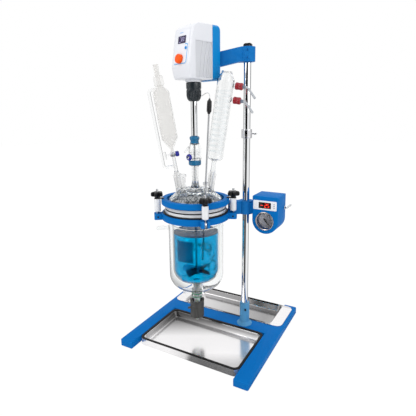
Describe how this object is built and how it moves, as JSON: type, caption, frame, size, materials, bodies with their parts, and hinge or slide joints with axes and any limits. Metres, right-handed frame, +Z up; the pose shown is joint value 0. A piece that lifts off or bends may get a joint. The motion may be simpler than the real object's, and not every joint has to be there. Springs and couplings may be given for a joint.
{
  "type": "jacketed glass reactor",
  "caption": "Bench jacketed glass reactor with overhead stirrer, addition funnel, coil condenser, clamp rings, control box, column and blue base with drip trays.",
  "frame": {"origin": "centre of the base's footprint, on the surface it stands on", "axes": "+Z up the column, +X right along the cross bar, front tray on the -Y side"},
  "size_m": [0.47, 0.49, 1.0435],
  "materials": {
    "blue_paint": "semi-gloss",
    "rubber_black": "matte",
    "polished_steel": "mirror",
    "steel": "satin",
    "white_plastic": "semi-gloss",
    "blue_plastic": "semi-gloss",
    "black_plastic": "fine grain",
    "orange_plastic": "gloss",
    "panel_plastic": "gloss",
    "seal_blue": "gloss",
    "clear_glass": "clear",
    "nut_violet": "gloss",
    "cap_red": "gloss",
    "white_ptfe": "waxy",
    "grey_plastic": "fine grain",
    "green_seal": "matte",
    "lead_white": "satin",
    "dial_silver": "satin"
  },
  "bodies": {
    "root": {"base_frame": "blue_paint", "foot_pads": "rubber_black", "column_socket": "blue_paint", "column": "polished_steel", "motor_housing": "white_plastic", "motor_rear_cover": "blue_plastic", "motor_panel": "panel_plastic", "seal_body": "clear_glass", "seal_caps": "seal_blue", "lower_ring": "blue_paint", "upper_ring": "blue_paint", "flange_gaskets": "rubber_black", "vessel_glass": "clear_glass", "jacket_glass": "clear_glass", "drain_seal_ring": "green_seal", "drain_collar": "grey_plastic", "lid_glass": "clear_glass", "funnel_glass": "clear_glass", "condenser_glass": "clear_glass", "condenser_coil": "clear_glass", "hose_barbs": "steel", "probe_rod": "steel", "probe_handle": "black_plastic", "lower_arm": "blue_paint", "upper_arm": "blue_paint", "screws_and_pins": "steel", "box_casing": "blue_paint", "gauge_bezel": "steel", "gauge_dial": "dial_silver", "gauge_lens": "clear_glass", "box_display": "white_plastic", "vacuum_nozzle": "steel", "probe_lead": "lead_white"},
    "front_tray": {"front_tray": "polished_steel", "front_tray_rim": "rubber_black"},
    "rear_tray": {"rear_tray": "polished_steel", "rear_tray_rim": "rubber_black"},
    "column_knob": {"column_knob": "black_plastic"},
    "speed_knob": {"speed_knob": "orange_plastic"},
    "power_button": {"power_button": "blue_plastic"},
    "stirrer": {"chuck_body": "black_plastic", "chuck_sleeve": "black_plastic", "stirrer_shaft": "polished_steel", "impeller": "steel"},
    "seal_port_nut": {"seal_port_nut": "nut_violet"},
    "drain_grip": {"drain_grip": "grey_plastic"},
    "drain_spindle": {"drain_spindle": "white_ptfe", "outlet_tip": "white_ptfe"},
    "funnel_stopcock": {"funnel_stopcock": "nut_violet"},
    "hose_cap_upper": {"hose_cap_upper": "cap_red"},
    "hose_cap_lower": {"hose_cap_lower": "cap_red"},
    "boss_clamp": {"boss_clamp": "polished_steel"},
    "boss_screw": {"boss_screw": "steel"},
    "gauge_needle": {"gauge_needle": "black_plastic"},
    "clamp_left": {"clamp_bolt_left": "steel"},
    "star_knob_left": {"star_knob_left": "black_plastic"},
    "clamp_front": {"clamp_bolt_front": "steel"},
    "star_knob_front": {"star_knob_front": "black_plastic"},
    "clamp_right": {"clamp_bolt_right": "steel"},
    "star_knob_right": {"star_knob_right": "black_plastic"}
  },
  "joints": [
    {"name": "front_tray_slide", "type": "slide", "parent": "root", "child": "front_tray", "axis": [0, -1, 0], "range_m": [0, 0.15]},
    {"name": "rear_tray_slide", "type": "slide", "parent": "root", "child": "rear_tray", "axis": [0, 1, 0], "range_m": [0, 0.12]},
    {"name": "column_knob_turn", "type": "hinge", "parent": "root", "child": "column_knob", "pos_m": [0.098, 0.047, 0.992], "axis": [0, 0, 1], "range_deg": [-90, 90]},
    {"name": "speed_knob_turn", "type": "hinge", "parent": "root", "child": "speed_knob", "pos_m": [-0.05581, -0.10818, 0.93779], "axis": [-0.3239, -0.9301, 0.1733], "range_deg": [-140, 140]},
    {"name": "power_button_press", "type": "slide", "parent": "root", "child": "power_button", "axis": [0.3239, 0.9301, -0.1733], "range_m": [0, 0.0012], "stiffness_N_per_m": 400},
    {"name": "stirrer_spin", "type": "hinge", "parent": "root", "child": "stirrer", "pos_m": [-0.0387, -0.05903, 0.85], "axis": [0, 0, 1], "continuous": true},
    {"name": "seal_port_nut_turn", "type": "hinge", "parent": "root", "child": "seal_port_nut", "pos_m": [-0.04324, -0.08005, 0.64], "axis": [-0.2113, -0.9774, 0], "range_deg": [-180, 180]},
    {"name": "clamp_left_swing", "type": "hinge", "parent": "root", "child": "clamp_left", "pos_m": [-0.13826, -0.13626, 0.446], "axis": [0.6129, -0.7902, 0], "range_deg": [0, 70]},
    {"name": "star_knob_left_turn", "type": "hinge", "parent": "clamp_left", "child": "star_knob_left", "pos_m": [-0.13826, -0.13626, 0.515], "axis": [0, 0, 1], "range_deg": [-180, 180]},
    {"name": "clamp_front_swing", "type": "hinge", "parent": "root", "child": "clamp_front", "pos_m": [0.04851, -0.14997, 0.446], "axis": [0.7218, 0.6921, 0], "range_deg": [0, 70]},
    {"name": "star_knob_front_turn", "type": "hinge", "parent": "clamp_front", "child": "star_knob_front", "pos_m": [0.04851, -0.14997, 0.515], "axis": [0, 0, 1], "range_deg": [-180, 180]},
    {"name": "clamp_right_swing", "type": "hinge", "parent": "root", "child": "clamp_right", "pos_m": [0.07909, -0.01429, 0.446], "axis": [-0.3551, 0.9348, 0], "range_deg": [0, 30]},
    {"name": "star_knob_right_turn", "type": "hinge", "parent": "clamp_right", "child": "star_knob_right", "pos_m": [0.07909, -0.01429, 0.515], "axis": [0, 0, 1], "range_deg": [-180, 180]},
    {"name": "drain_grip_turn", "type": "hinge", "parent": "root", "child": "drain_grip", "pos_m": [-0.0387, -0.05903, 0.095], "axis": [0, 0, 1], "range_deg": [0, 180]},
    {"name": "drain_spindle_slide", "type": "slide", "parent": "root", "child": "drain_spindle", "axis": [0, 0, -1], "range_m": [0, 0.012]},
    {"name": "funnel_stopcock_turn", "type": "hinge", "parent": "root", "child": "funnel_stopcock", "pos_m": [-0.09468, -0.10246, 0.64877], "axis": [0.7793, 0.6045, 0.165], "range_deg": [-90, 90]},
    {"name": "hose_cap_upper_turn", "type": "hinge", "parent": "root", "child": "hose_cap_upper", "pos_m": [0.08677, -0.01652, 0.85933], "axis": [0.984, 0.1009, -0.1467], "range_deg": [-180, 180]},
    {"name": "hose_cap_lower_turn", "type": "hinge", "parent": "root", "child": "hose_cap_lower", "pos_m": [0.08065, -0.01864, 0.81682], "axis": [0.984, 0.1009, -0.1467], "range_deg": [-180, 180]},
    {"name": "boss_clamp_slide", "type": "slide", "parent": "root", "child": "boss_clamp", "axis": [0, 0, 1], "range_m": [-0.08, 0.08]},
    {"name": "boss_screw_turn", "type": "hinge", "parent": "boss_clamp", "child": "boss_screw", "pos_m": [0.12942, 0.05709, 0.711], "axis": [0.9521, 0.3057, 0], "range_deg": [-180, 180]},
    {"name": "gauge_needle_turn", "type": "hinge", "parent": "root", "child": "gauge_needle", "pos_m": [0.177, 0.018, 0.43], "axis": [0, -1, 0], "range_deg": [-20, 250]}
  ],
  "couplings": [
    {"joint": "drain_spindle_slide", "follows": "drain_grip_turn", "m_per_rad": 0.0038}
  ]
}
